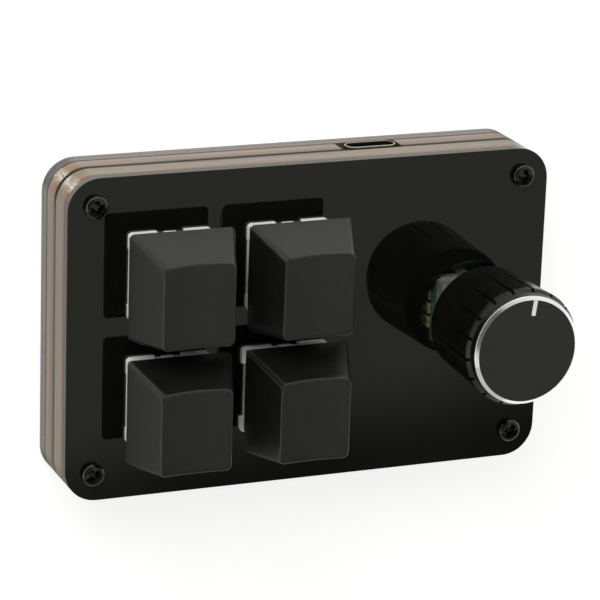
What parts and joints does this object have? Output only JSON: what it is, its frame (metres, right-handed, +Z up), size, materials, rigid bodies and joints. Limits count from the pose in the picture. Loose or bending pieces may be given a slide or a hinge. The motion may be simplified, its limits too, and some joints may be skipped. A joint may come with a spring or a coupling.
{
  "type": "macro keypad with knob",
  "caption": "Desk keypad on a stacked-plate case with dished key caps on switches that travel, a push-and-turn knob on an encoder, and a USB-C socket in its edge.",
  "frame": {"origin": "under the middle of the case, on the surface that its feet rest on", "axes": "+X to the right, towards the knob; +Y towards the edge with the socket; +Z up, out of the front plate"},
  "size_m": [0.085, 0.0553, 0.0391],
  "materials": {
    "front_black": "high-gloss black sheet",
    "smoky_clear": "smoky clear sheet, polished edges",
    "grey_clear": "grey translucent sheet",
    "black_steel": "black oxide",
    "brass": "turned",
    "foot_rubber": "matt",
    "board_green": "solder resist over glass fibre",
    "bright_steel": "tinned",
    "socket_black": "moulded",
    "chip_black": "moulded epoxy",
    "chip_parts": "ceramic with tinned ends",
    "diode_glass": "clear glass with tinned ends",
    "cap_black": "satin, fine texture",
    "stem_brown": "moulded",
    "spring_steel": "bright wire and sheet",
    "switch_white": "moulded",
    "switch_black": "moulded",
    "contact_gold": "rolled",
    "encoder_black": "moulded",
    "encoder_green": "moulded",
    "encoder_steel": "plated sheet",
    "terminal_bronze": "tinned bronze",
    "rotor_plastic": "moulded",
    "shaft_aluminium": "turned",
    "knob_black": "black anodised, bright-cut bevel",
    "core_black": "moulded",
    "pointer_white": "filled line"
  },
  "bodies": {
    "case": {"front_plate": "front_black", "upper_frame": "smoky_clear", "lower_frame": "smoky_clear", "back_plate": "grey_clear", "front_screws": "black_steel", "back_screws": "black_steel", "standoffs": "brass", "rubber_feet": "foot_rubber", "circuit_board": "board_green", "usb_shell": "bright_steel", "usb_tongue": "socket_black", "controller_chip": "chip_black", "memory_chip": "chip_black", "crystal": "bright_steel", "voltage_regulator": "chip_black", "small_parts": "chip_parts", "diodes": "diode_glass", "switch_spring_1": "spring_steel", "switch_spring_2": "spring_steel", "switch_spring_3": "spring_steel", "switch_spring_4": "spring_steel", "switch_top_1": "switch_black", "switch_top_2": "switch_black", "switch_top_3": "switch_black", "switch_top_4": "switch_black", "switch_base_1": "switch_white", "switch_base_2": "switch_white", "switch_base_3": "switch_white", "switch_base_4": "switch_white", "switch_contacts_1": "contact_gold", "switch_contacts_2": "contact_gold", "switch_contacts_3": "contact_gold", "switch_contacts_4": "contact_gold", "encoder_base": "encoder_black", "encoder_wafer": "encoder_green", "encoder_cover": "encoder_steel", "encoder_terminals": "terminal_bronze", "encoder_dome": "spring_steel"},
    "key_1": {"key_cap_1": "cap_black", "switch_stem_1": "stem_brown"},
    "key_2": {"key_cap_2": "cap_black", "switch_stem_2": "stem_brown"},
    "key_3": {"key_cap_3": "cap_black", "switch_stem_3": "stem_brown"},
    "key_4": {"key_cap_4": "cap_black", "switch_stem_4": "stem_brown"},
    "encoder_plunger": {"encoder_button": "rotor_plastic"},
    "knob": {"encoder_shaft": "shaft_aluminium", "knob_shell": "knob_black", "knob_core": "core_black", "knob_pointer": "pointer_white"},
    "rotor": {"encoder_rotor": "rotor_plastic"}
  },
  "joints": [
    {"name": "key_1_press", "type": "slide", "parent": "case", "child": "key_1", "axis": [0, 0, -1], "range_m": [0, 0.004], "stiffness_N_per_m": 80, "springref_m": -0.005, "deforming": ["switch_spring_1"]},
    {"name": "key_2_press", "type": "slide", "parent": "case", "child": "key_2", "axis": [0, 0, -1], "range_m": [0, 0.004], "stiffness_N_per_m": 80, "springref_m": -0.005, "deforming": ["switch_spring_2"]},
    {"name": "key_3_press", "type": "slide", "parent": "case", "child": "key_3", "axis": [0, 0, -1], "range_m": [0, 0.004], "stiffness_N_per_m": 80, "springref_m": -0.005, "deforming": ["switch_spring_3"]},
    {"name": "key_4_press", "type": "slide", "parent": "case", "child": "key_4", "axis": [0, 0, -1], "range_m": [0, 0.004], "stiffness_N_per_m": 80, "springref_m": -0.005, "deforming": ["switch_spring_4"]},
    {"name": "knob_push", "type": "slide", "parent": "case", "child": "encoder_plunger", "axis": [0, 0, -1], "range_m": [0, 0.0005], "stiffness_N_per_m": 2000, "springref_m": -0.0015, "deforming": ["encoder_dome"]},
    {"name": "knob_turn", "type": "hinge", "parent": "encoder_plunger", "child": "knob", "pos_m": [0.029, -0.0003, 0.03], "axis": [0, 0, 1], "continuous": true},
    {"name": "rotor_turn", "type": "hinge", "parent": "case", "child": "rotor", "pos_m": [0.029, -0.0003, 0.0165], "axis": [0, 0, 1], "continuous": true}
  ],
  "couplings": [
    {"joint": "rotor_turn", "follows": "knob_turn", "ratio": 1}
  ]
}
